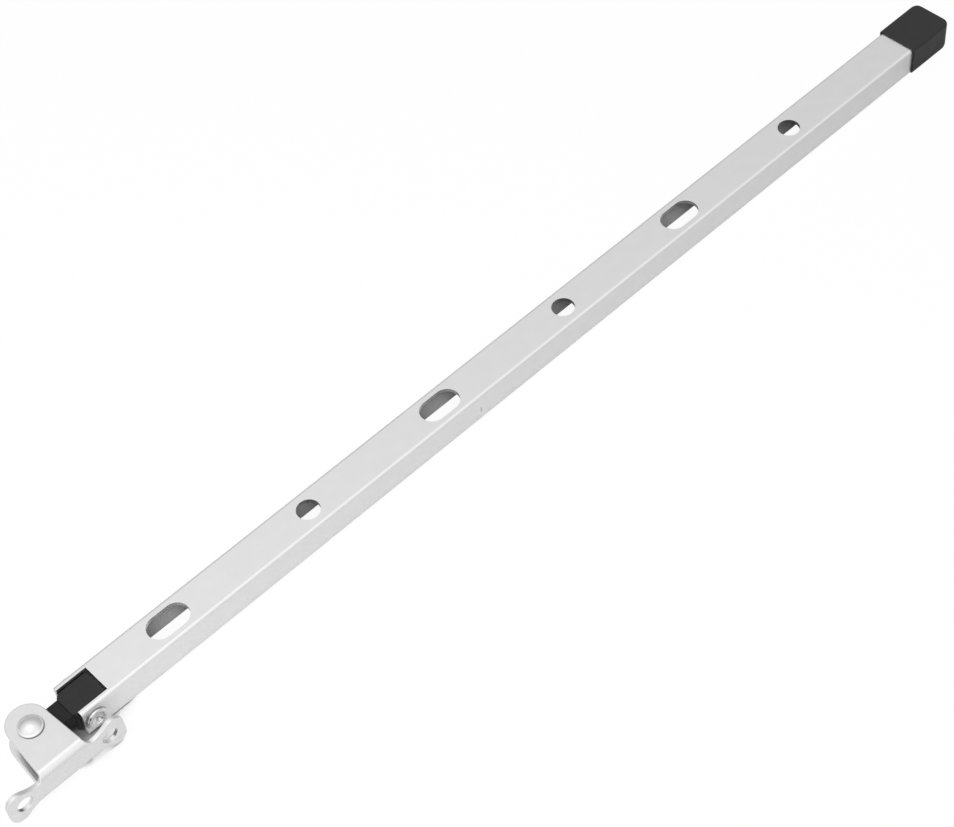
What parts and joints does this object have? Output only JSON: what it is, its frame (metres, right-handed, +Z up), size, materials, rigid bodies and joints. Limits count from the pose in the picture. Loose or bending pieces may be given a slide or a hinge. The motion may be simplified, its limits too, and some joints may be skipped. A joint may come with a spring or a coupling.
{
  "type": "greenhouse window opener",
  "caption": "Pierced channel stay bar with a capped end, hinged by a swivelling knuckle to a small folded screw-on bracket, to prop a greenhouse window open.",
  "frame": {"origin": "on the bracket's mounting face, midway between its two screw holes", "axes": "+X along the stay bar towards its capped end, +Y away from the mounting face, +Z up through the bar's pierced web"},
  "size_m": [0.3081, 0.0182, 0.0102],
  "materials": {
    "bracket_steel": "satin zinc plate",
    "rivet_steel": "satin zinc plate",
    "knuckle_plastic": "moulded satin",
    "bar_aluminium": "satin mill finish",
    "cap_plastic": "soft moulded satin"
  },
  "bodies": {
    "bracket": {"bracket": "bracket_steel", "ear_rivet": "rivet_steel"},
    "knuckle": {"knuckle": "knuckle_plastic"},
    "bar": {"stay_bar": "bar_aluminium", "flange_rivet": "rivet_steel", "end_cap": "cap_plastic"}
  },
  "joints": [
    {"name": "ear_swivel", "type": "hinge", "parent": "bracket", "child": "knuckle", "pos_m": [0, 0.0116, 0], "axis": [0, 0, 1], "range_deg": [-10, 190]},
    {"name": "flange_pivot", "type": "hinge", "parent": "knuckle", "child": "bar", "pos_m": [0.0121, 0.0116, -0.0012], "axis": [0, -1, 0], "range_deg": [-90, 90]}
  ]
}
